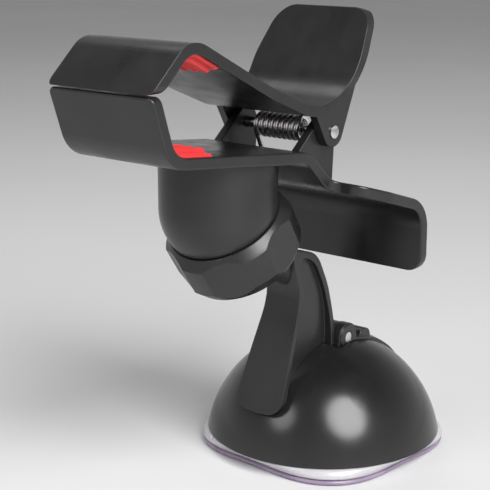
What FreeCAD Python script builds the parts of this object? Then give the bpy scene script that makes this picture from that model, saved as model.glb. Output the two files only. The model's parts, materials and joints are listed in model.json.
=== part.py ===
import FreeCAD, Part
import math
import os

# Car phone mount: a suction base with a lock lever, an arm with a ball joint and a sprung
# two-jaw phone clamp.  Millimetres.  +Z is up, -Y is the mouth of the jaws, and the origin
# is the centre of the suction face on the surface that the mount stands on.

V = FreeCAD.Vector
X_AXIS = V(1, 0, 0)
Z_AXIS = V(0, 0, 1)

# Base
SUCTION_R = 36.0
GEL_TOP = 1.5
CUP_TOP = 4.3
CUP_MIDDLE = 2.5
RIM_LOBES = 4
RIM_TURN = -48.0
RIM_DEEP = 5.0
DOME_R = 34.9
DOME_CENTRE = V(0, 0, -1.8)
DOME_WALL = 2.2
DOME_RIM_Z = 4.6
CHANNEL_HALF = 9.5

# Lock lever and suction stem
LEVER_PIVOT = V(0, 0, 33.4)
LEVER_HALF = 9.0
LEVER_PIN_R = 1.5
LEVER_EAR = 3.2
EAR_R = 4.2
BOSS_R = 3.7
BOSS_HIGH = 0.4
CAM_R = 4.4
CAM_OFFSET = 2.4
STEM_R = 4.0
STEM_PLATE_R = 13.0
WELL_FLOOR = 25.0
CAM_PLATE = 1.0

# Arm
ARM_HALF = 9.0
ARM_WEB = 4.4
NECK_R = 4.2
NECK_LONG = 28.0
BALL_R = 11.0

# Ball socket: it lies along a leaning axis that starts at the middle of the nut's lower face
SOCKET_LEAN = 33.0
NUT_BOTTOM = V(0, -38.3, 65.5)
SOCKET_AXIS = V(0, -math.sin(math.radians(SOCKET_LEAN)), math.cos(math.radians(SOCKET_LEAN)))
BALL = NUT_BOTTOM + SOCKET_AXIS * 6.0
NECK_DIP = 32.0
NECK_AXIS = V(0, math.cos(math.radians(NECK_DIP)), -math.sin(math.radians(NECK_DIP)))
LINER_R = 12.5
COLLAR_R = 14.3
HOUSING_R = 15.6
HOUSING_Y = -46.8
NUT_R = 17.65
NUT_HEIGHT = 8.8
NUT_SKIRT = 3.2
NUT_TOP = 11.2
SCOOPS = 6
SCOOP_PHASE = 1.5
SCOOP_R = 40.0
SCOOP_LEAN = 1.3
SCOOP_DEPTH = 1.33

# Clamp
PLATE = 2.6
JAW_HALF = 17.4
HANDLE_HALF = 29.5
PADDLE_HALF = 18.3
SEAM_Z = 113.0
SEAM_GAP = 0.5
LIP_CORNER = 1.8
PIVOT = V(0, -20.5, 97.0)
PIN_R = 1.5
PIN_HEAD_R = 1.7
EDGE = 0.55
SMALLEST_BEND = 0.8
EAR = 2.4
EAR_GAP = 0.3
UPPER_EAR_X = JAW_HALF - EAR
LOWER_EAR_X = UPPER_EAR_X - EAR_GAP - EAR
UPPER_PATH = ((-90.6, 111.6), (-75.4, 125.7), (-45.0, 110.6), (-19.3, 100.2), (-1.4, 128.4))
UPPER_BENDS = (8.4, 60.0, 17.0)
LOWER_PATH = ((-86.5, 116.0), (-80.6, 98.0), (-30.0, 92.8), (-20.8, 84.0), (8.2, 75.0), (8.2, 55.2))
LOWER_BENDS = (6.0, 9.0, 9.0, 10.0)
LOWER_PLATE = 3.0
PAD_BACK = 0.8
RIB_HIGH = 1.2
RIB_WIDE = 2.0
RIB_PITCH = 3.4
RIB_COUNT = 9

# Springs
CLAMP_COIL_R = 2.95
CLAMP_WIRE_R = 0.72
CLAMP_TURNS = 8
CLAMP_START = -7.85
RETURN_COIL_R = 5.2
RETURN_WIRE_R = 0.45

RUNNING = 0.06


def side_points(path):
    """Points of a side view, given as (y, z)."""
    return [V(0, y, z) for y, z in path]


def rounded_edges(corners, bends):
    """Straight edges through the corners, with an arc of the given radius at each inner one."""
    edges = []
    last = corners[0]
    for before, corner, after, bend in zip(corners, corners[1:], corners[2:], bends):
        back = (before - corner).normalize()
        ahead = (after - corner).normalize()
        half = back.getAngle(ahead) / 2
        reach = bend / math.tan(half)
        middle = corner + (back + ahead).normalize() * (bend / math.sin(half) - bend)
        start = corner + back * reach
        edges.append(Part.LineSegment(last, start).toShape())
        last = corner + ahead * reach
        edges.append(Part.Arc(start, middle, last).toShape())
    edges.append(Part.LineSegment(last, corners[-1]).toShape())
    return edges


def below(corners, bends, distance):
    """The path moved to its underside, with the radii that keep its bends concentric."""
    runs = [(b - a).normalize() for a, b in zip(corners, corners[1:])]
    normals = [V(0, run.z, -run.y) for run in runs]
    moved = [corners[0] + normals[0] * distance]
    for corner, first, second in zip(corners[1:], normals, normals[1:]):
        mean = (first + second).normalize()
        moved.append(corner + mean * (distance / mean.dot(first)))
    moved.append(corners[-1] + normals[-1] * distance)
    turns = [a.cross(b).x for a, b in zip(runs, runs[1:])]
    radii = [bend + math.copysign(distance, turn) for bend, turn in zip(bends, turns)]
    return moved, [max(radius, SMALLEST_BEND) for radius in radii]


def prism(edges, x_low, x_high):
    """A closed side-view outline made solid from x_low to x_high."""
    solid = Part.Face(Part.Wire(edges)).extrude(V(x_high - x_low, 0, 0))
    solid.translate(V(x_low, 0, 0))
    return solid


def polygon(points):
    """The edges of a closed outline with straight sides."""
    return Part.makePolygon(list(points) + [points[0]]).Edges


def closed_outline(corners, bends):
    """A closed outline whose corners are all rounded, one bend for each corner."""
    middle = (corners[0] + corners[-1]) * 0.5
    edges = rounded_edges([middle] + list(corners) + [middle], bends)
    return edges


def bent_plate(path, bends, depth, thickness, x_low, x_high):
    """A plate that follows a path, starting at a depth below it."""
    corners = side_points(path)
    top, top_bends = below(corners, bends, depth)
    low, low_bends = below(corners, bends, depth + thickness)
    edges = rounded_edges(top, top_bends)
    edges.append(Part.LineSegment(top[-1], low[-1]).toShape())
    edges += rounded_edges(low[::-1], low_bends[::-1])
    edges.append(Part.LineSegment(low[0], top[0]).toShape())
    return prism(edges, x_low, x_high)


def space_above(path, bends, depth):
    """Everything above a path moved down by a depth, for trimming what stands under it."""
    top, radii = below(side_points(path), bends, depth)
    ceiling = 200.0
    edges = rounded_edges(top, radii)
    edges.append(Part.LineSegment(top[-1], V(0, top[-1].y, ceiling)).toShape())
    edges.append(Part.LineSegment(V(0, top[-1].y, ceiling), V(0, top[0].y, ceiling)).toShape())
    edges.append(Part.LineSegment(V(0, top[0].y, ceiling), top[0]).toShape())
    return prism(edges, -60, 60)


def block(x_low, x_high, y_low, y_high, z_low, z_high):
    """A box given by its limits."""
    return Part.makeBox(x_high - x_low, y_high - y_low, z_high - z_low, V(x_low, y_low, z_low))


def rod(start, direction, length, radius):
    """A cylinder from a point along a direction."""
    return Part.makeCylinder(radius, length, start, direction)


def cross_rod(centre, radius, x_low, x_high):
    """A cylinder along X through a centre in the side view."""
    return rod(V(x_low, centre.y, centre.z), X_AXIS, x_high - x_low, radius)


def turned(profile, origin, axis):
    """A solid of revolution; the profile's points are (radius, height along the axis)."""
    wire = Part.makePolygon([V(r, 0, h) for r, h in list(profile) + [profile[0]]])
    solid = Part.Face(wire).revolve(V(0, 0, 0), Z_AXIS, 360)
    solid.Placement = FreeCAD.Placement(origin, FreeCAD.Rotation(Z_AXIS, axis))
    return solid


def fillet(shape, radius, wanted):
    """Rounds the edges that the test picks."""
    return shape.makeFillet(radius, [edge for edge in shape.Edges if wanted(edge)])


def is_rim(edge, through):
    """True for an edge along the outline of a bent plate, but not one across or through it."""
    across = edge.BoundBox.XLength > 0.99 * edge.Length
    inward = through > 0.99 * edge.Length and edge.Length < 6
    return not across and not inward and abs(edge.Length - PLATE) > 0.4


def is_lip_corner(edge, seam):
    """True for the two short edges through the plate at the outer ends of a lip."""
    box = edge.BoundBox
    at_end = box.XLength < 0.01 and abs(box.XMax) > JAW_HALF - 0.1
    return at_end and box.YMax < -80 and abs(box.Center.z - seam) < 0.01


def coil(radius, wire_radius, pitch, length):
    """A helical spring along +Z from the origin."""
    helix = Part.makeHelix(pitch, length, radius)
    along = V(0, 1, pitch / (2 * math.pi * radius))
    section = Part.Wire(Part.makeCircle(wire_radius, V(radius, 0, 0), along))
    return Part.Wire(helix.Edges).makePipeShell([section], True, True)


def tangent_foot(centre, radius, outside, side):
    """Where the straight edge from an outside point touches a round end."""
    away = outside - centre
    angle = math.atan2(away.z, away.y) + side * math.acos(radius / away.Length)
    return centre + V(0, math.cos(angle), math.sin(angle)) * radius


def ear(front, rear, radius, x_low):
    """A hinge ear: a rounded end about the pivot, widening to a root from front to rear."""
    front_foot = tangent_foot(PIVOT, radius, front, 1 if front.z > PIVOT.z else -1)
    rear_foot = tangent_foot(PIVOT, radius, rear, -1 if rear.z > PIVOT.z else 1)
    web = prism(polygon([front, front_foot, PIVOT, rear_foot, rear]), x_low, x_low + EAR)
    return web.fuse(cross_rod(PIVOT, radius, x_low, x_low + EAR))


def both_sides(shape):
    """The shape and its mirror image across the middle plane."""
    return shape.fuse(shape.mirror(V(0, 0, 0), X_AXIS))


def upper_jaw():
    """Upper jaw: lip, pressing plate, bend over the pivot and thumb paddle, with two outer ears."""
    plate = bent_plate(UPPER_PATH, UPPER_BENDS, 0, PLATE, -PADDLE_HALF, PADDLE_HALF)
    corners = [V(JAW_HALF, 0, 90), V(JAW_HALF, 0, 108), V(PADDLE_HALF, 0, 114), V(15.4, 0, 128.2)]
    corners += [V(-p.x, 0, p.z) for p in reversed(corners)]
    middle = V(0, 0, 90)
    edges = rounded_edges([middle] + corners + [middle], (0.5, 8.0, 20.0, 7.0, 7.0, 20.0, 8.0, 0.5))
    paddle_space = Part.Face(Part.Wire(edges)).extrude(V(0, 60, 0))
    paddle_space.translate(V(0, -32, 0))
    front_space = block(-JAW_HALF, JAW_HALF, -100, -31, SEAM_Z + SEAM_GAP / 2 - 20, 140)
    jaw = plate.common(paddle_space.fuse(front_space).removeSplitter())
    seam = SEAM_Z + SEAM_GAP / 2
    jaw = jaw.cut(block(-40, 40, -100, -80, 90, seam)).removeSplitter()
    jaw = fillet(jaw, LIP_CORNER, lambda e: is_lip_corner(e, seam))
    root = ear(V(0, -29.8, 105.4), V(0, -8.8, 113.6), 4.0, UPPER_EAR_X)
    ears = both_sides(root).cut(space_above(UPPER_PATH, UPPER_BENDS, 0.9))
    jaw = jaw.fuse(ears).removeSplitter()
    return jaw.cut(cross_rod(PIVOT, PIN_R + RUNNING, -20, 20))


def handle_outline():
    """Plan of the lower jaw: a straight tongue, then a flare to the wide finger handle."""
    half = HANDLE_HALF
    corners = [V(JAW_HALF, -95, 50), V(JAW_HALF, -20.2, 50), V(25.5, -19.4, 50)]
    corners += [V(half, -11, 50), V(half, 12, 50)]
    corners += [V(-p.x, p.y, p.z) for p in reversed(corners)]
    middle = V(0, -95, 50)
    return rounded_edges([middle] + corners + [middle], (0.5, 3.0, 6.0, 8.0, 0.5, 0.5, 8.0, 6.0, 3.0, 0.5))


def lower_jaw():
    """Lower jaw: lip, rest plate, step down behind the pivot and turned-down finger handle."""
    plate = bent_plate(LOWER_PATH, LOWER_BENDS, 0, LOWER_PLATE, -HANDLE_HALF, HANDLE_HALF)
    plan = Part.Face(Part.Wire(handle_outline())).extrude(V(0, 0, 80))
    jaw = plate.common(plan)
    seam = SEAM_Z - SEAM_GAP / 2
    jaw = jaw.cut(block(-40, 40, -100, -70, seam, 140)).removeSplitter()
    jaw = fillet(jaw, LIP_CORNER, lambda e: is_lip_corner(e, seam))
    low = LOWER_PATH[-1][1]
    jaw = fillet(jaw, 5.0, lambda e: abs(e.BoundBox.ZMax - low) < 0.01
                 and e.BoundBox.XLength < 0.01 and abs(e.BoundBox.XMax) > HANDLE_HALF - 0.1)
    jaw = fillet(jaw.removeSplitter(), EDGE, lambda e: is_rim(e, e.BoundBox.ZLength))
    root = ear(V(0, -33.5, 91.4), V(0, -17.4, 81.0), 4.2, LOWER_EAR_X)
    jaw = jaw.fuse(both_sides(root)).removeSplitter()
    jaw = jaw.cut(cross_rod(PIVOT, PIN_R + RUNNING, -20, 20))
    for x in (-8.0, 8.0):
        jaw = jaw.cut(screw(housing_screw_top(x), housing_screw_axis(), 0.12))
    return jaw


def grip_pad(path, bends, depth, y_limit, z_limit, upper):
    """A ribbed rubber pad in the front corner of a jaw; its ribs run from lip to plate."""
    half = JAW_HALF - 1.0
    sign = 1 if upper else -1
    back_depth = depth if upper else -PAD_BACK
    rib_depth = depth + PAD_BACK if upper else -PAD_BACK - RIB_HIGH
    pad = bent_plate(path, bends, back_depth, PAD_BACK, -half, half)
    for i in range(RIB_COUNT):
        x = (i - (RIB_COUNT - 1) / 2) * RIB_PITCH
        rib = bent_plate(path, bends, rib_depth, RIB_HIGH, x - RIB_WIDE / 2, x + RIB_WIDE / 2)
        pad = pad.fuse(rib)
    keep_z = block(-40, 40, -100, y_limit, *((90, z_limit) if not upper else (z_limit, 140)))
    return pad.common(keep_z).removeSplitter()


def lower_plate_run():
    """Direction of the flat rest plate, rearwards."""
    start, end = side_points(LOWER_PATH[1:3])
    return (end - start).normalize()


def housing_screw_axis():
    """Down through the rest plate."""
    run = lower_plate_run()
    return V(0, run.z, -run.y)


def housing_screw_top(x):
    """Centre of a screw head on the top face of the rest plate."""
    start = side_points(LOWER_PATH[1:2])[0]
    along = lower_plate_run()
    reach = (HOUSING_Y - start.y) / along.y
    return start + along * reach + V(x, 0, 0) + housing_screw_axis() * 0.2


def screw(head, axis, extra=0.0):
    """A countersunk screw; extra makes the hole for it."""
    cone = Part.makeCone(2.4 + extra, 1.25 + extra, 1.3, head, axis)
    return cone.fuse(rod(head, axis, 8.0, 1.25 + extra))


def housing_screws():
    """Two countersunk screws that hold the socket housing under the lower jaw."""
    screws = [screw(housing_screw_top(x), housing_screw_axis()) for x in (-8.0, 8.0)]
    return Part.makeCompound([s.removeSplitter() for s in screws])


def socket_housing():
    """Bullet-shaped housing: an upright drum under the jaw that leans back into a threaded collar."""
    elbow_reach = (HOUSING_Y - NUT_BOTTOM.y) / SOCKET_AXIS.y
    elbow = NUT_BOTTOM + SOCKET_AXIS * elbow_reach
    outer = rod(elbow, Z_AXIS, 30, HOUSING_R)
    outer = outer.fuse(Part.makeSphere(HOUSING_R, elbow))
    outer = outer.cut(rod(NUT_BOTTOM - SOCKET_AXIS * 40, SOCKET_AXIS, 40 + NUT_TOP + 0.4, 40))
    collar = rod(NUT_BOTTOM + SOCKET_AXIS * 3.0, SOCKET_AXIS, 12.0, COLLAR_R - 0.15)
    drum = outer.fuse(collar)
    drum = drum.cut(space_above(LOWER_PATH, LOWER_BENDS, LOWER_PLATE))
    drum = drum.cut(rod(NUT_BOTTOM, SOCKET_AXIS, 21.0, LINER_R + RUNNING))
    for x in (-8.0, 8.0):
        head = housing_screw_top(x)
        drum = drum.cut(rod(head, housing_screw_axis(), 8.4, 1.3))
    return drum.removeSplitter()


def thrust_washer():
    """Steel washer between the liner's top and the end of its pocket."""
    return turned([(3.0, 20.1), (12.2, 20.1), (12.2, 20.9), (3.0, 20.9)], NUT_BOTTOM, SOCKET_AXIS)


def socket_liner():
    """Slit nylon cup that grips the ball about its middle, with room above for the friction pad."""
    cup = rod(NUT_BOTTOM + SOCKET_AXIS * 2.4, SOCKET_AXIS, 17.6, LINER_R)
    cup = cup.cut(Part.makeSphere(BALL_R + RUNNING, BALL))
    pad_room = Part.makeSphere(LINER_R - 0.9, BALL)
    pad_room = pad_room.common(rod(BALL + SOCKET_AXIS * 1.6, SOCKET_AXIS, 20, 20))
    cup = cup.cut(pad_room)
    cup = cup.cut(rod(BALL + SOCKET_AXIS * 11.0, SOCKET_AXIS, 9.0, 5.0))
    for angle in (45, 135):
        slit = block(-20, 20, -0.5, 0.5, 0, 5.5)
        slit.Placement = FreeCAD.Placement(NUT_BOTTOM, FreeCAD.Rotation(Z_AXIS, SOCKET_AXIS)).multiply(
            FreeCAD.Placement(V(0, 0, 0), FreeCAD.Rotation(Z_AXIS, angle)))
        cup = cup.cut(slit)
    return cup


def friction_pad():
    """Thin domed pad that lies on the far side of the ball from its neck."""
    shell = Part.makeSphere(LINER_R - 1.0, BALL).cut(Part.makeSphere(BALL_R + 0.05, BALL))
    cone = Part.makeCone(0, 9.0, 14.0, BALL, NECK_AXIS * -1)
    return shell.common(cone)


def squeeze_ring():
    """Flat ring that the nut pushes against the liner's lower end."""
    return turned([(11.7, 1.5), (13.9, 1.5), (13.9, 2.3), (11.7, 2.3)], NUT_BOTTOM, SOCKET_AXIS)


def lock_nut():
    """Ring nut with six broad finger scoops around it and both rims chamfered."""
    profile = [(13.0, -NUT_SKIRT), (15.4, -NUT_SKIRT), (NUT_R - 0.2, 0.2), (NUT_R, NUT_HEIGHT)]
    profile += [(NUT_R - 0.6, NUT_HEIGHT + 0.5), (NUT_R - 2.2, NUT_TOP), (COLLAR_R, NUT_TOP)]
    profile += [(COLLAR_R, 1.4), (11.9, 1.4), (11.9, 0)]
    nut = turned(profile, NUT_BOTTOM, SOCKET_AXIS)
    place = FreeCAD.Placement(NUT_BOTTOM, FreeCAD.Rotation(Z_AXIS, SOCKET_AXIS))
    for i in range(SCOOPS):
        angle = math.radians(SCOOP_PHASE + 360.0 * i / SCOOPS)
        outwards = V(math.cos(angle), math.sin(angle), 0)
        lean = math.radians(SCOOP_LEAN)
        along = outwards * math.sin(lean) + Z_AXIS * math.cos(lean)
        away = outwards * math.cos(lean) - Z_AXIS * math.sin(lean)
        middle = outwards * (NUT_R - SCOOP_DEPTH) + Z_AXIS * NUT_HEIGHT + away * SCOOP_R
        scoop = rod(middle - along * 30, along, 60, SCOOP_R)
        scoop.Placement = place.multiply(scoop.Placement)
        nut = nut.cut(scoop)
    return nut


def ball_stud():
    """Ball and neck; the neck's end is set in the head of the arm."""
    neck = rod(BALL, NECK_AXIS, NECK_LONG, NECK_R)
    return Part.makeSphere(BALL_R, BALL).fuse(neck).removeSplitter()


def support_arm():
    """Curved arm from the dome to the ball joint: a web between a front band and a rear flange."""
    corners = side_points(((-33.2, 12.0), (-25.2, 32.6), (-20.6, 44.0), (-19.2, 50.0), (-21.4, 57.0),
                           (-22.6, 63.4), (-11.6, 60.6), (-5.4, 48.4), (-4.0, 38.0), (-5.8, 12.0)))
    bends = (0.5, 60.0, 30.0, 8.0, 1.2, 1.6, 9.0, 30.0, 30.0, 0.5)
    arm = prism(closed_outline(corners, bends), -ARM_HALF, ARM_HALF)
    panel_corners = side_points(((-31.4, 12.0), (-23.7, 32.4), (-19.2, 43.8), (-17.6, 50.0), (-19.2, 56.4),
                                 (-19.4, 60.6), (-12.8, 58.8), (-6.9, 47.8), (-5.5, 38.0), (-7.2, 12.0)))
    panel = prism(closed_outline(panel_corners, bends), ARM_WEB, ARM_HALF + 1)
    arm = arm.cut(both_sides(panel))
    outline = [V(5.8, 0, 70), V(5.9, 0, 46), V(7.3, 0, 31), V(7.9, 0, 23), V(8.3, 0, 17.6)]
    foot = V(0, 0, 17.0)
    outline = [foot] + [V(-p.x, 0, p.z) for p in reversed(outline)] + outline + [foot]
    bends = (4.5, 20.0, 30.0, 40.0, 0.5, 0.5, 40.0, 30.0, 20.0, 4.5)
    edges = rounded_edges(outline, bends)
    front_view = Part.Face(Part.Wire(edges)).extrude(V(0, 70, 0))
    front_view.translate(V(0, -60, 0))
    arm = arm.common(front_view)
    arm = arm.cut(Part.makeSphere(DOME_R, DOME_CENTRE))
    arm = arm.cut(rod(BALL, NECK_AXIS, NECK_LONG + 0.05, NECK_R))
    for place, axis in arm_screw_places():
        arm = arm.cut(rod(place, axis, 6.6, 1.3))
    return arm.removeSplitter()


def arm_screw_places():
    """Where each arm screw's head rests inside the dome, with the direction of its shank."""
    places = []
    for tilt in (24.0, 40.0):
        axis = V(0, -math.sin(math.radians(tilt)), math.cos(math.radians(tilt)))
        places.append((DOME_CENTRE + axis * (DOME_R - DOME_WALL - 1.4), axis))
    return places


def arm_screws():
    """Two pan-head screws from inside the dome into the arm's foot."""
    screws = []
    for place, axis in arm_screw_places():
        screws.append(rod(place, axis, 1.3, 2.6).fuse(rod(place, axis, 6.4, 1.25)).removeSplitter())
    return Part.makeCompound(screws)


def channel_space(z_low):
    """The strip at the back of the dome that the lever lies in."""
    return block(-CHANNEL_HALF, CHANNEL_HALF, 7.0, 60, z_low, 60)


def dome_cover():
    """Moulded dome with a lever channel at the back, a well for the cam and three screw bosses."""
    outer = Part.makeSphere(DOME_R, DOME_CENTRE)
    inner = Part.makeSphere(DOME_R - DOME_WALL, DOME_CENTRE)
    above_rim = block(-50, 50, -50, 50, DOME_RIM_Z, 60)
    shell = outer.cut(inner).common(above_rim)
    floor_ball = Part.makeSphere(DOME_R - DOME_WALL - 1.6, DOME_CENTRE)
    thick = inner.cut(floor_ball).common(block(-CHANNEL_HALF - 1.5, CHANNEL_HALF + 1.5, 6.0, 60, 7.4, 60))
    well = block(-CHANNEL_HALF - 1.6, CHANNEL_HALF + 1.6, -7.0, 8.8, WELL_FLOOR - 1.2, 60).common(outer)
    dome = shell.fuse(thick).fuse(well)
    for angle in (90, 210, 330):
        boss = rod(frame_screw_point(angle), Z_AXIS, 30, 3.0).common(outer)
        dome = dome.fuse(boss)
    groove = outer.cut(inner).common(channel_space(9.0))
    dome = dome.cut(groove)
    dome = dome.cut(block(-CHANNEL_HALF, CHANNEL_HALF, -5.4, 7.2, WELL_FLOOR, 60))
    dome = dome.cut(rod(V(0, 0, 10), Z_AXIS, 20, STEM_R + 0.4))
    for angle in (90, 210, 330):
        dome = dome.cut(rod(frame_screw_point(angle), Z_AXIS, 9.0, 1.3))
    for place, axis in arm_screw_places():
        dome = dome.cut(rod(place, axis, 9.0, 1.35))
    return dome.removeSplitter()


def frame_screw_point(angle):
    """Foot of a boss for the inner frame's screws."""
    reach = 25.0
    return V(reach * math.cos(math.radians(angle)), reach * math.sin(math.radians(angle)), 6.7)


def inner_frame():
    """Ring that presses the cup's rim, with a raised guide tube for the stem."""
    profile = [(20.0, 4.7), (31.9, 4.7), (31.4, 6.6), (21.0, 6.6), (15.6, 11.6), (7.0, 13.6), (7.0, 21.0)]
    profile += [(4.1, 21.0), (4.1, 12.0), (6.6, 12.0), (14.6, 10.2)]
    frame = turned(profile, V(0, 0, 0), Z_AXIS)
    for angle in (90, 210, 330):
        point = frame_screw_point(angle)
        frame = frame.cut(rod(V(point.x, point.y, 4), Z_AXIS, 4, 1.35))
        frame = frame.cut(rod(V(point.x, point.y, 4), Z_AXIS, 1.9, 2.7))
    return frame


def frame_screws():
    """Three pan-head screws that hold the inner frame in the dome."""
    screws = []
    for angle in (90, 210, 330):
        point = frame_screw_point(angle)
        head = V(point.x, point.y, 4.75)
        screws.append(rod(head, Z_AXIS, 1.1, 2.6).fuse(rod(head, Z_AXIS, 8.5, 1.25)).removeSplitter())
    return Part.makeCompound(screws)


def suction_stem():
    """Stem with a broad plate in the cup's collar and a flat head for the lever's pin."""
    stem = rod(V(0, 0, 4.4), Z_AXIS, 25.0, STEM_R)
    stem = stem.fuse(rod(V(0, 0, 4.4), Z_AXIS, 1.8, STEM_PLATE_R))
    head = block(-5.4, 5.4, -3.6, 3.6, WELL_FLOOR + CAM_PLATE + 2.0, LEVER_PIVOT.z)
    stem = stem.fuse(head).fuse(cross_rod(LEVER_PIVOT, 3.6, -5.4, 5.4))
    return stem.removeSplitter().cut(cross_rod(LEVER_PIVOT, LEVER_PIN_R + RUNNING, -10, 10))


def lever_pin():
    """Steel pin through the lever's two ears and the stem's head."""
    return cross_rod(LEVER_PIVOT, LEVER_PIN_R, -LEVER_HALF + 0.1, LEVER_HALF - 0.1)


def lock_lever():
    """Forked lever: two cam ears on the pin, a bridge behind them and a blade in the dome's channel."""
    ears = cross_rod(LEVER_PIVOT, EAR_R, -LEVER_HALF + BOSS_HIGH, LEVER_HALF - BOSS_HIGH)
    ears = ears.fuse(cross_rod(LEVER_PIVOT, BOSS_R, -LEVER_HALF, LEVER_HALF))
    cam = cross_rod(LEVER_PIVOT - Z_AXIS * CAM_OFFSET, CAM_R, -LEVER_HALF + BOSS_HIGH, LEVER_HALF - BOSS_HIGH)
    under = Part.makeSphere(DOME_R - DOME_WALL + 0.3, DOME_CENTRE)
    blade = Part.makeSphere(DOME_R + 0.7, DOME_CENTRE).cut(under)
    blade = blade.common(block(-LEVER_HALF, LEVER_HALF, 1.5, 60, 11.5, 60))
    tip = Part.makeSphere(DOME_R + 3.0, DOME_CENTRE).cut(Part.makeSphere(DOME_R + 0.4, DOME_CENTRE))
    tip = tip.common(block(-LEVER_HALF, LEVER_HALF, 20, 60, 11.5, 14.0))
    bridge = cross_rod(LEVER_PIVOT + V(0, 8.6, -2.0), 2.7, -LEVER_HALF + BOSS_HIGH, LEVER_HALF - BOSS_HIGH)
    bridge = bridge.cut(under)
    lever = ears.fuse(cam).fuse(blade).fuse(tip).fuse(bridge)
    inside = LEVER_HALF - LEVER_EAR
    lever = lever.cut(block(-inside, inside, -8, 5.2, 20, 45))
    return lever.removeSplitter().cut(cross_rod(LEVER_PIVOT, LEVER_PIN_R + RUNNING, -10, 10))


def cam_plate():
    """Steel wear plate under the cams, with a hole for the stem."""
    plate = block(-9.2, 9.2, -5.2, 7.0, WELL_FLOOR, WELL_FLOOR + CAM_PLATE)
    return plate.cut(rod(V(0, 0, WELL_FLOOR - 1), Z_AXIS, 4, STEM_R + 0.4))


def return_spring():
    """Coil spring around the stem, between its plate and the guide tube."""
    spring = coil(RETURN_COIL_R, RETURN_WIRE_R, 1.35, 4.4)
    spring.translate(V(0, 0, 6.2 + RETURN_WIRE_R + 0.05))
    return spring


def lobed_room():
    """An upright prism whose outline swells into soft lobes, for trimming the rim."""
    points = []
    for degrees in range(0, 360, 10):
        angle = math.radians(degrees)
        swell = (1 + math.cos(RIM_LOBES * (angle - math.radians(RIM_TURN)))) / 2
        radius = SUCTION_R - RIM_DEEP * (1 - swell)
        points.append(V(radius * math.cos(angle), radius * math.sin(angle), -1))
    rim = Part.BSplineCurve()
    rim.interpolate(points, PeriodicFlag=True)
    return Part.Face(Part.Wire(rim.toShape())).extrude(Z_AXIS * 10)


def suction_cup():
    """Clear cup: a thick rim under the dome and a thin middle with a collar round the stem's plate."""
    profile = [(0, GEL_TOP), (SUCTION_R, GEL_TOP), (SUCTION_R + 0.2, 2.4), (SUCTION_R - 0.6, CUP_TOP)]
    profile += [(28.0, CUP_TOP), (24.0, 2.5), (15.2, 2.5), (15.2, 7.2), (STEM_PLATE_R + 0.1, 7.2)]
    profile += [(STEM_PLATE_R + 0.1, CUP_MIDDLE), (0, CUP_MIDDLE)]
    return turned(profile, V(0, 0, 0), Z_AXIS).common(lobed_room())


def gel_layer():
    """Sticky tinted gel disc under the cup; its flat lower face meets the surface."""
    profile = [(0, 0), (SUCTION_R - 0.4, 0), (SUCTION_R, 0.5), (SUCTION_R, GEL_TOP)]
    profile += [(0, GEL_TOP)]
    return turned(profile, V(0, 0, 0), Z_AXIS).common(lobed_room())


def pivot_pin():
    """Steel hinge pin with a low domed head on one side."""
    end = JAW_HALF + 0.15
    pin = cross_rod(PIVOT, PIN_R, -end - 0.9, end + 0.2)
    dome = Part.makeSphere(8.0, V(end - 7.5, PIVOT.y, PIVOT.z))
    head = dome.common(cross_rod(PIVOT, PIN_HEAD_R, end, end + 2))
    return pin.fuse(head).removeSplitter()


def pin_clip():
    """Push-on retaining washer at the pin's plain end."""
    end = JAW_HALF + 0.15
    return cross_rod(PIVOT, 2.9, -end - 0.6, -end).cut(cross_rod(PIVOT, PIN_R, -20, 0))


def torsion_spring():
    """Coil around the pin whose ends press the two handles apart."""
    pitch = 1.8
    body = coil(CLAMP_COIL_R, CLAMP_WIRE_R, pitch, pitch * CLAMP_TURNS)
    body.Placement = FreeCAD.Placement(V(CLAMP_START, PIVOT.y, PIVOT.z), FreeCAD.Rotation(V(0, 0, 1), X_AXIS))
    return body


def export(name, shape):
    """Writes one named sub-part."""
    if not shape.isValid():
        print("not valid:", name)
    shape.exportStep("parts/" + name + ".step")
    box = shape.BoundBox
    print("%-16s solids %d volume %9.1f  x %6.1f %6.1f  y %6.1f %6.1f  z %6.1f %6.1f" % (
        name, len(shape.Solids), shape.Volume, box.XMin, box.XMax, box.YMin, box.YMax, box.ZMin, box.ZMax))


os.makedirs("parts", exist_ok=True)
NODES = {
    "suction_cup": suction_cup(),
    "gel_layer": gel_layer(),
    "dome_cover": dome_cover(),
    "inner_frame": inner_frame(),
    "frame_screws": frame_screws(),
    "arm_screws": arm_screws(),
    "support_arm": support_arm(),
    "ball_stud": ball_stud(),
    "cam_plate": cam_plate(),
    "return_spring": return_spring(),
    "suction_stem": suction_stem(),
    "lever_pin": lever_pin(),
    "lock_lever": lock_lever(),
    "friction_pad": friction_pad(),
    "socket_liner": socket_liner(),
    "socket_housing": socket_housing(),
    "thrust_washer": thrust_washer(),
    "squeeze_ring": squeeze_ring(),
    "lock_nut": lock_nut(),
    "lower_jaw": lower_jaw(),
    "lower_grip_pad": grip_pad(LOWER_PATH, LOWER_BENDS, 0, -67.0, 108.0, False),
    "housing_screws": housing_screws(),
    "pivot_pin": pivot_pin(),
    "pin_clip": pin_clip(),
    "torsion_spring": torsion_spring(),
    "upper_jaw": upper_jaw(),
    "upper_grip_pad": grip_pad(UPPER_PATH, UPPER_BENDS, PLATE, -64.5, 114.6, True),
}
for node, solid in NODES.items():
    export(node, solid)
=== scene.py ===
import json
import math

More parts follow.
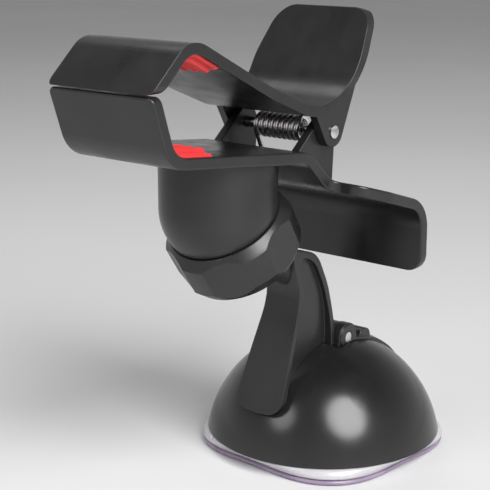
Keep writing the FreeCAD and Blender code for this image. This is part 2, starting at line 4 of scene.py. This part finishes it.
import bpy
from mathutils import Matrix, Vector


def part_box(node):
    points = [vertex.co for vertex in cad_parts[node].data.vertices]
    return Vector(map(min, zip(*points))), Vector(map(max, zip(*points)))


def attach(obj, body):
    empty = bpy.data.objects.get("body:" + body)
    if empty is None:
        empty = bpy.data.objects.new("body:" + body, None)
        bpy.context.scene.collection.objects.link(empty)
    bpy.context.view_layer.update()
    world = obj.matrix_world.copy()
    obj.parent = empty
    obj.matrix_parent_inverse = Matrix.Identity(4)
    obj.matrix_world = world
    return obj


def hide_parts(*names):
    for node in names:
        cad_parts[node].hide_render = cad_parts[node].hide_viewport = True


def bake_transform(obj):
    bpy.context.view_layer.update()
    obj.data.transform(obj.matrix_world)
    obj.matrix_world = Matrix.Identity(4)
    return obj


# Car phone mount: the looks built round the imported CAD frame.  Metres, the CAD's own axes:
# +Z up from the suction face, -Y towards the mouth of the jaws, +X along the hinge pin.

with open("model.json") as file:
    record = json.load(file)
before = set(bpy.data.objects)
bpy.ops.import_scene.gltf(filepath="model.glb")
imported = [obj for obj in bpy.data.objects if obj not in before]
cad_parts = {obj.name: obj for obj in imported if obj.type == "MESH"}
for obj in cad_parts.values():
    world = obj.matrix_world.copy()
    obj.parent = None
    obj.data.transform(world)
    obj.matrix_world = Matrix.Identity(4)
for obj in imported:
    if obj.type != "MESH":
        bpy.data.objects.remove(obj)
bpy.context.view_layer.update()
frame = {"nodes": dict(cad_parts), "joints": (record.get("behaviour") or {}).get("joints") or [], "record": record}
nodes = frame["nodes"]
joints = {joint["name"]: joint for joint in frame["joints"]}

MM = 0.001

# Jaws: side-view corners (y, z) of the outer faces and the radius of each bend between them
PLATE = 2.6 * MM
UPPER_FRONT = ((-90.6, 111.6), (-75.4, 125.7), (-45.0, 110.6))
UPPER_BEND = 8.4
LOWER_FRONT = ((-86.5, 116.0), (-80.6, 98.0), (-30.0, 92.8))
LOWER_BEND = 6.0

# Grip pads
PAD_BACK = 0.8 * MM
PAD_EDGE = 0.5 * MM
PAD_SINK = 0.02 * MM
RIB_HIGH = 1.2 * MM
RIB_WIDE = 2.0 * MM
RIB_PITCH = 3.4 * MM
RIB_COUNT = 9
RIB_INSET = 1.4 * MM
POINTS_PER_RIB = 12

# Clamp spring: a coil from left to right round the hinge pin, a straight leg down to the lower jaw,
# and a leg along the back of the paddle's bend
PIVOT = Vector(joints["jaw_open"]["pos_m"])
CLAMP_COIL_R = 2.95 * MM
CLAMP_WIRE_R = 0.72 * MM
CLAMP_TURNS = 8
CLAMP_LEFT = -6.9 * MM
CLAMP_RIGHT = 7.4 * MM
CLAMP_FIRST = math.radians(203.8)
CLAMP_LAST = math.radians(147.6)
CLAMP_STEPS = 26
DOWN_LEG = (12.6 * MM, 9 * MM, 5 * MM, 1.5 * MM)
UP_LEG = (1.2 * MM, 2.2 * MM)
PADDLE_BEND = Vector((0, -26.07, 121.27)) * MM
PADDLE_BACK_R = 20.45 * MM
PADDLE_FROM = -73
PADDLE_SWEEP = 38
PADDLE_POINTS = 12

# Return spring
RETURN_TURNS = 4
RETURN_STEPS = 28
RETURN_COIL_R = 5.2 * MM
RETURN_WIRE_R = 0.45 * MM

# Suction rim: four soft lobes
LOBES = 4
LOBE_TURN = math.radians(-48)
LOBE_DEEP = 2.6 * MM
LOBE_STEPS = 192

# Sections of the cup and its gel from the axis out, up and back in: (radius, height, share of the lobes)
SKIRT_SECTION = ((3, 1.6, 0), (28, 1.6, 0), (34.8, 1.6, 1), (35.7, 1.9, 1), (35.9, 2.4, 0.9), (35.6, 3.2, 0.6),
                 (35.0, 4.0, 0.3), (34.4, 4.35, 0.1), (28.0, 4.3, 0), (24.0, 2.6, 0), (15.6, 2.6, 0),
                 (15.2, 3.0, 0), (15.2, 6.9, 0), (14.9, 7.2, 0), (13.4, 7.2, 0), (13.15, 6.9, 0),
                 (13.15, 2.45, 0), (3, 2.45, 0))
GEL_SECTION = ((3, 0.0, 0), (28, 0.0, 0), (34.9, 0.0, 1), (35.5, 0.3, 1), (35.8, 0.8, 1), (35.6, 1.3, 1),
               (34.9, 1.56, 1), (28, 1.56, 0), (3, 1.56, 0))

# Camera: where it stands, how far it looks down, and its lens
CAMERA = Vector((0.21898, -0.29426, 0.15112))
CAMERA_AZIMUTH = math.radians(40.3)
CAMERA_DOWN = math.radians(14.04)
CAMERA_LENS = 95.44


# ---------------------------------------------------------------- materials


def new_material(name):
    """An empty node material with a Principled shader; returns it with its node tree and the shader."""
    material = bpy.data.materials.new(name)
    material.use_nodes = True
    tree = material.node_tree
    tree.nodes.clear()
    output = tree.nodes.new("ShaderNodeOutputMaterial")
    shader = tree.nodes.new("ShaderNodeBsdfPrincipled")
    tree.links.new(shader.outputs["BSDF"], output.inputs["Surface"])
    return material, tree, shader


def noise(tree, scale, detail=4.0, stretch=(1, 1, 1)):
    """Noise over the object's own coordinates; scale is in cycles per metre."""
    place = tree.nodes.new("ShaderNodeTexCoord")
    mapping = tree.nodes.new("ShaderNodeMapping")
    mapping.inputs["Scale"].default_value = stretch
    texture = tree.nodes.new("ShaderNodeTexNoise")
    texture.inputs["Scale"].default_value = scale
    texture.inputs["Detail"].default_value = detail
    tree.links.new(place.outputs["Object"], mapping.inputs["Vector"])
    tree.links.new(mapping.outputs["Vector"], texture.inputs["Vector"])
    return texture.outputs["Fac"]


def between(tree, factor, low, high, start=0.3, end=0.7):
    """A number that runs from low to high as the factor runs from start to end."""
    node = tree.nodes.new("ShaderNodeMapRange")
    node.inputs["From Min"].default_value = start
    node.inputs["From Max"].default_value = end
    node.inputs["To Min"].default_value = low
    node.inputs["To Max"].default_value = high
    tree.links.new(factor, node.inputs["Value"])
    return node.outputs["Result"]


def two_tone(tree, factor, first, second, start=0.35, end=0.65):
    """A colour that runs from the first to the second."""
    ramp = tree.nodes.new("ShaderNodeValToRGB")
    ramp.color_ramp.elements[0].position = start
    ramp.color_ramp.elements[1].position = end
    ramp.color_ramp.elements[0].color = (*first, 1)
    ramp.color_ramp.elements[1].color = (*second, 1)
    tree.links.new(factor, ramp.inputs["Fac"])
    return ramp.outputs["Color"]


def bump(tree, height, distance, strength, under=None):
    """A normal from a height, on top of another normal if one is given."""
    node = tree.nodes.new("ShaderNodeBump")
    node.inputs["Distance"].default_value = distance
    node.inputs["Strength"].default_value = strength
    tree.links.new(height, node.inputs["Height"])
    if under is not None:
        tree.links.new(under, node.inputs["Normal"])
    return node.outputs["Normal"]


def soft_edges(tree, radius):
    """A normal that rounds sharp moulded edges off by a small radius."""
    node = tree.nodes.new("ShaderNodeBevel")
    node.samples = 8
    node.inputs["Radius"].default_value = radius
    return node.outputs["Normal"]


def moulded(name, dark, light, rough, grain, grain_deep, ripple=0.0, edge=0.45 * MM, **sockets):
    """Moulded plastic or rubber: cloudy colour, uneven gloss, rounded edges, a fine grain and a slow ripple."""
    material, tree, shader = new_material(name)
    clouds = noise(tree, 55)
    smears = noise(tree, 160, 6.0, (1, 1, 0.35))
    tree.links.new(two_tone(tree, clouds, dark, light), shader.inputs["Base Color"])
    tree.links.new(between(tree, smears, *rough), shader.inputs["Roughness"])
    normal = bump(tree, noise(tree, grain, 2.0), grain_deep, 1.0, soft_edges(tree, edge))
    if ripple:
        normal = bump(tree, noise(tree, 90, 1.0), ripple, 1.0, normal)
    tree.links.new(normal, shader.inputs["Normal"])
    for socket, value in sockets.items():
        shader.inputs[socket.replace("_", " ")].default_value = value
    return material


def metal(name, dark, light, rough, along):
    """Drawn or turned metal with fine lines along one direction and faint staining."""
    material, tree, shader = new_material(name)
    shader.inputs["Metallic"].default_value = 1.0
    tree.links.new(two_tone(tree, noise(tree, 300), dark, light), shader.inputs["Base Color"])
    lines = noise(tree, 2600, 3.0, along)
    tree.links.new(between(tree, lines, *rough), shader.inputs["Roughness"])
    tree.links.new(bump(tree, lines, 0.01 * MM, 0.6), shader.inputs["Normal"])
    return material


def clear_soft(name, thin, thick, rough, transmission):
    """Soft clear vinyl or gel with faint clouding."""
    material, tree, shader = new_material(name)
    tree.links.new(two_tone(tree, noise(tree, 120), thin, thick), shader.inputs["Base Color"])
    tree.links.new(between(tree, noise(tree, 400), *rough), shader.inputs["Roughness"])
    tree.links.new(bump(tree, noise(tree, 260, 2.0), 0.08 * MM, 0.5), shader.inputs["Normal"])
    shader.inputs["Transmission Weight"].default_value = transmission
    shader.inputs["IOR"].default_value = 1.5
    return material


FINISHES = {
    "black_plastic": moulded(
        "satin_black_plastic", (0.011, 0.0105, 0.011), (0.016, 0.0155, 0.016), (0.26, 0.38), 3200, 0.006 * MM,
        0.05 * MM),
    "gloss_black_plastic": moulded(
        "gloss_black_plastic", (0.010, 0.010, 0.0105), (0.014, 0.0135, 0.014), (0.19, 0.25), 2400, 0.002 * MM,
        0.04 * MM),
    "black_nylon": moulded(
        "black_nylon", (0.012, 0.012, 0.012), (0.020, 0.020, 0.021), (0.42, 0.55), 2500, 0.01 * MM),
    "red_rubber": moulded(
        "red_rubber", (0.56, 0.012, 0.016), (0.70, 0.028, 0.028), (0.38, 0.52), 2600, 0.015 * MM,
        Sheen_Weight=0.15),
    "friction_rubber": moulded(
        "friction_rubber", (0.025, 0.025, 0.025), (0.045, 0.044, 0.042), (0.7, 0.85), 1800, 0.03 * MM),
    "clear_pvc": clear_soft("clear_pvc", (0.80, 0.78, 0.83), (0.90, 0.88, 0.92), (0.16, 0.28), 0.45),
    "lilac_gel": clear_soft("lilac_gel", (0.36, 0.28, 0.42), (0.48, 0.38, 0.52), (0.10, 0.2), 0.35),
    "steel": metal("turned_steel", (0.60, 0.60, 0.61), (0.74, 0.74, 0.75), (0.16, 0.30), (0.1, 1, 1)),
    "zinc_screw": metal("zinc_plate", (0.50, 0.51, 0.53), (0.66, 0.67, 0.70), (0.22, 0.36), (1, 1, 0.3)),
    "spring_chrome": metal("spring_chrome", (0.70, 0.70, 0.71), (0.88, 0.88, 0.89), (0.22, 0.32),
                           (1, 0.3, 0.3)),
}


def finish_nodes():
    """Gives every CAD node the finish of its own slot in the record."""
    for part in frame["record"]["subparts"]:
        node = nodes[part["node"]]
        node.data.materials.clear()
        node.data.materials.append(FINISHES[part["material_slot"]])


# ---------------------------------------------------------------- mesh helpers


def add_mesh(name, points, faces, slot):
    """A smooth-shaded mesh object with the finish of a slot."""
    mesh = bpy.data.meshes.new(name)
    mesh.from_pydata([tuple(p) for p in points], [], faces)
    mesh.validate()
    mesh.shade_smooth()
    mesh.materials.append(FINISHES[slot])
    piece = bpy.data.objects.new(name, mesh)
    bpy.context.scene.collection.objects.link(piece)
    return piece


def grid_faces(rows, columns, closed_rows=False, closed_columns=False):
    """Quads of a grid of points stored row by row."""
    faces = []
    for i in range(rows if closed_rows else rows - 1):
        for j in range(columns if closed_columns else columns - 1):
            a = i * columns + j
            b = i * columns + (j + 1) % columns
            c = (i + 1) % rows * columns + (j + 1) % columns
            d = (i + 1) % rows * columns + j
            faces.append((a, b, c, d))
    return faces


def wire(name, line, radius, slot, sides=14):
    """A round wire along a line of points, closed by domed ends."""
    line = [Vector(p) for p in line]
    points = []
    side = None
    for i, centre in enumerate(line):
        ahead = (line[min(i + 1, len(line) - 1)] - line[max(i - 1, 0)]).normalized()
        if side is None:
            side = ahead.orthogonal().normalized()
        side = (side - ahead * side.dot(ahead)).normalized()
        up = ahead.cross(side)
        for k in range(sides):
            angle = 2 * math.pi * k / sides
            points.append(centre + (side * math.cos(angle) + up * math.sin(angle)) * radius)
    faces = grid_faces(len(line), sides, closed_columns=True)
    first_tip = line[0] - (line[1] - line[0]).normalized() * radius * 0.5
    last_tip = line[-1] + (line[-1] - line[-2]).normalized() * radius * 0.5
    for ring, centre, flip in ((0, first_tip, True), (len(line) - 1, last_tip, False)):
        points.append(centre)
        for k in range(sides):
            a, b = ring * sides + k, ring * sides + (k + 1) % sides
            faces.append((b, a, len(points) - 1) if flip else (a, b, len(points) - 1))
    return add_mesh(name, points, faces, slot)


def bent_line(corners, bend, depth, step=0.35 * MM):
    """Points and upward normals along two runs joined by an arc, at a depth below the corners' line."""
    a, corner, b = (Vector((0, y * MM, z * MM)) for y, z in corners)
    first, second = (corner - a).normalized(), (b - corner).normalized()
    turn = first.angle(second)
    side = math.copysign(1, first.cross(second).x)
    reach = bend * MM * math.tan(turn / 2)
    middle = corner - first * reach + Vector((0, -first.z, first.y)) * side * bend * MM
    end = corner - first * reach
    count = max(2, round((end - a).length / step))
    samples = [(a.lerp(end, i / count), Vector((0, -first.z, first.y))) for i in range(count)]
    count = max(4, round(turn * bend * MM / step))
    for i in range(count):
        angle = side * turn * i / count
        run = Vector((0, first.y * math.cos(angle) - first.z * math.sin(angle),
                      first.y * math.sin(angle) + first.z * math.cos(angle)))
        normal = Vector((0, -run.z, run.y))
        samples.append((middle - normal * side * bend * MM, normal))
    start = corner + second * reach
    count = max(2, round((b - start).length / step))
    samples += [(start.lerp(b, i / count), Vector((0, -second.z, second.y))) for i in range(count + 1)]
    return [(point - normal * depth, normal) for point, normal in samples]


# ---------------------------------------------------------------- pieces


def grip_pad(name, node, body, corners, bend, depth, outward):
    """A ribbed pad with rounded ribs, laid along the inner face of a jaw inside its CAD pad's room."""
    low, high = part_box(node)
    half = (high.x - low.x) / 2 - 0.05 * MM
    line = [s for s in bent_line(corners, bend, depth) if low.y < s[0].y < high.y and low.z < s[0].z < high.z]
    reach = [0.0]
    for before, after in zip(line, line[1:]):
        reach.append(reach[-1] + (after[0] - before[0]).length)
    columns = RIB_COUNT * POINTS_PER_RIB + 9
    across = [-half + 2 * half * i / (columns - 1) for i in range(columns)]
    top, base = [], []
    for s, (point, normal) in zip(reach, line):
        for x in across:
            edge = min(x + half, half - x, s, reach[-1] - s)
            round_edge = math.sqrt(max(0.0, 1 - (1 - min(edge / PAD_EDGE, 1)) ** 2))
            nearest = max(-(RIB_COUNT // 2), min(RIB_COUNT // 2, round(x / RIB_PITCH)))
            past = max(RIB_INSET - s, s - (reach[-1] - RIB_INSET), 0.0)
            away = math.hypot(x - nearest * RIB_PITCH, past) / (RIB_WIDE / 2)
            rib = RIB_HIGH * max(0.0, 1 - away ** 4) ** 0.5 if away < 1 else 0.0
            height = PAD_BACK * round_edge + rib
            top.append(Vector((x, point.y, point.z)) + normal * outward * height)
            base.append(Vector((x, point.y, point.z)) - normal * outward * PAD_SINK)
    rows = len(line)
    faces = grid_faces(rows, columns)
    count = rows * columns
    faces += [tuple(i + count for i in reversed(face)) for face in grid_faces(rows, columns)]
    ring = list(range(columns))
    ring += [i * columns + columns - 1 for i in range(1, rows)]
    ring += [(rows - 1) * columns + j for j in range(columns - 2, -1, -1)]
    ring += [i * columns for i in range(rows - 2, 0, -1)]
    for a, b in zip(ring, ring[1:] + ring[:1]):
        faces.append((b, a, a + count, b + count))
    piece = add_mesh(name, top + base, faces, "red_rubber")
    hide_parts(node)
    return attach(piece, body)


def clamp_spring():
    """Line of the torsion spring: a leg down to the lower jaw, the coil, and a leg along the paddle's back."""
    last = CLAMP_LAST - 2 * math.pi * CLAMP_TURNS
    steps = CLAMP_STEPS * CLAMP_TURNS

    def on_coil(angle, x):
        return PIVOT + Vector((x, CLAMP_COIL_R * math.cos(angle), CLAMP_COIL_R * math.sin(angle)))

    down = Vector((0, -math.sin(CLAMP_FIRST), math.cos(CLAMP_FIRST)))
    up = Vector((0, math.sin(last), -math.cos(last)))
    start, end = on_coil(CLAMP_FIRST, CLAMP_LEFT), on_coil(last, CLAMP_RIGHT)
    line = [start + down * reach for reach in DOWN_LEG]
    for i in range(steps + 1):
        angle = CLAMP_FIRST + (last - CLAMP_FIRST) * i / steps
        line.append(on_coil(angle, CLAMP_LEFT + (CLAMP_RIGHT - CLAMP_LEFT) * i / steps))
    line += [end + up * reach for reach in UP_LEG]
    for i in range(PADDLE_POINTS):
        angle = math.radians(PADDLE_FROM + PADDLE_SWEEP * i / (PADDLE_POINTS - 1))
        arm = Vector((end.x, math.cos(angle) * PADDLE_BACK_R, math.sin(angle) * PADDLE_BACK_R))
        line.append(PADDLE_BEND + arm)
    return line


def lobed(name, node, profile, slot):
    """A turned soft disc whose edge swells into lobes, from a section of (radius, height, lobe share)."""
    points = []
    for i in range(LOBE_STEPS):
        angle = 2 * math.pi * i / LOBE_STEPS
        for radius, height, share in profile:
            r = radius * MM + share * LOBE_DEEP * (math.cos(LOBES * (angle - LOBE_TURN)) - 1)
            points.append((r * math.cos(angle), r * math.sin(angle), height * MM))
    columns = len(profile)
    faces = [face[::-1] for face in grid_faces(LOBE_STEPS, columns, closed_rows=True)]
    points += [(0, 0, profile[0][1] * MM), (0, 0, profile[-1][1] * MM)]
    for i in range(LOBE_STEPS):
        here, following = i * columns, (i + 1) % LOBE_STEPS * columns
        faces.append((len(points) - 2, following, here))
        faces.append((len(points) - 1, here + columns - 1, following + columns - 1))
    piece = add_mesh(name, points, faces, slot)
    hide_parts(node)
    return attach(piece, "base")


def return_coil():
    """Return spring between the stem's plate and the frame; the real one lengthens as the stem goes down, but this
    coil stays fixed.
    """
    low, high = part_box("return_spring")
    bottom, top = low.z + RETURN_WIRE_R, high.z - RETURN_WIRE_R
    line = []
    for i in range(RETURN_TURNS * RETURN_STEPS + 1):
        angle = 2 * math.pi * i / RETURN_STEPS
        height = bottom + (top - bottom) * i / (RETURN_TURNS * RETURN_STEPS)
        line.append((RETURN_COIL_R * math.cos(angle), RETURN_COIL_R * math.sin(angle), height))
    piece = wire("return_coil", line, RETURN_WIRE_R, "spring_chrome")
    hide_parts("return_spring")
    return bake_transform(piece)


def friction_disc():
    """Rubber pad that holds the ball, hidden in the socket; a plain copy of its CAD solid."""
    piece = bpy.data.objects.new("friction_disc", nodes["friction_pad"].data.copy())
    bpy.context.scene.collection.objects.link(piece)
    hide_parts("friction_pad")
    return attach(piece, "pad")


finish_nodes()

grip_pad("upper_grip", "upper_grip_pad", "upper", UPPER_FRONT, UPPER_BEND, PLATE, -1)
grip_pad("lower_grip", "lower_grip_pad", "clamp", LOWER_FRONT, LOWER_BEND, 0, 1)

coil = wire("clamp_coil", clamp_spring(), CLAMP_WIRE_R, "spring_chrome")
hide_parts("torsion_spring")
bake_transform(coil)
return_coil()
friction_disc()

lobed("suction_skirt", "suction_cup", SKIRT_SECTION, "clear_pvc")
lobed("gel_disc", "gel_layer", GEL_SECTION, "lilac_gel")


# ---------------------------------------------------------------- stage, light and camera


def stage():
    """Pale floor under the object."""
    size = 3.0
    floor = bpy.data.objects.new("floor", bpy.data.meshes.new("floor"))
    corners = [(-size, -size, 0), (size, -size, 0), (size, size, 0), (-size, size, 0)]
    floor.data.from_pydata(corners, [], [(0, 1, 2, 3)])
    floor.location.z = -0.05 * MM
    material, tree, shader = new_material("pale_floor")
    pale = two_tone(tree, noise(tree, 3), (0.68, 0.68, 0.68), (0.72, 0.72, 0.72))
    tree.links.new(pale, shader.inputs["Base Color"])
    shader.inputs["Roughness"].default_value = 0.55
    floor.data.materials.append(material)
    bpy.context.scene.collection.objects.link(floor)


def softbox(name, azimuth, elevation, distance, width, height, watts):
    """A soft round light aimed at the middle of the object."""
    a, e = math.radians(azimuth), math.radians(elevation)
    towards = Vector((math.sin(a) * math.cos(e), -math.cos(a) * math.cos(e), math.sin(e)))
    data = bpy.data.lights.new(name, "AREA")
    data.shape = "ELLIPSE"
    data.size = width
    data.size_y = height
    data.energy = watts
    light = bpy.data.objects.new(name, data)
    light.location = Vector((0, 0, 0.06)) + towards * distance
    light.rotation_euler = towards.to_track_quat("Z", "Y").to_euler()
    bpy.context.scene.collection.objects.link(light)


def surroundings():
    """A plain studio: bright near the horizon and dim overhead."""
    world = bpy.data.worlds.new("studio")
    bpy.context.scene.world = world
    world.use_nodes = True
    tree = world.node_tree
    place = tree.nodes.new("ShaderNodeTexCoord")
    split = tree.nodes.new("ShaderNodeSeparateXYZ")
    ramp = tree.nodes.new("ShaderNodeValToRGB")
    ramp.color_ramp.elements[0].position = 0.02
    ramp.color_ramp.elements[0].color = (0.85, 0.85, 0.86, 1)
    ramp.color_ramp.elements[1].position = 0.7
    ramp.color_ramp.elements[1].color = (0.16, 0.16, 0.165, 1)
    tree.links.new(place.outputs["Generated"], split.inputs["Vector"])
    tree.links.new(split.outputs["Z"], ramp.inputs["Fac"])
    tree.links.new(ramp.outputs["Color"], tree.nodes["Background"].inputs["Color"])
    tree.nodes["Background"].inputs["Strength"].default_value = 0.9


def camera():
    """The camera at the object's three-quarter view."""
    data = bpy.data.cameras.new("camera")
    data.lens = CAMERA_LENS
    data.sensor_width = 36
    eye = bpy.data.objects.new("camera", data)
    eye.location = CAMERA
    eye.rotation_euler = (math.pi / 2 - CAMERA_DOWN, 0, CAMERA_AZIMUTH)
    bpy.context.scene.collection.objects.link(eye)
    bpy.context.scene.camera = eye


stage()
softbox("key", 68, 41, 0.9, 0.60, 0.66, 11.5)
softbox("fill", -13, 35, 1.0, 0.42, 0.42, 1.8)
softbox("side", -108, 60, 0.9, 0.36, 0.36, 0.9)
surroundings()
camera()
bpy.context.scene.view_settings.view_transform = "Standard"
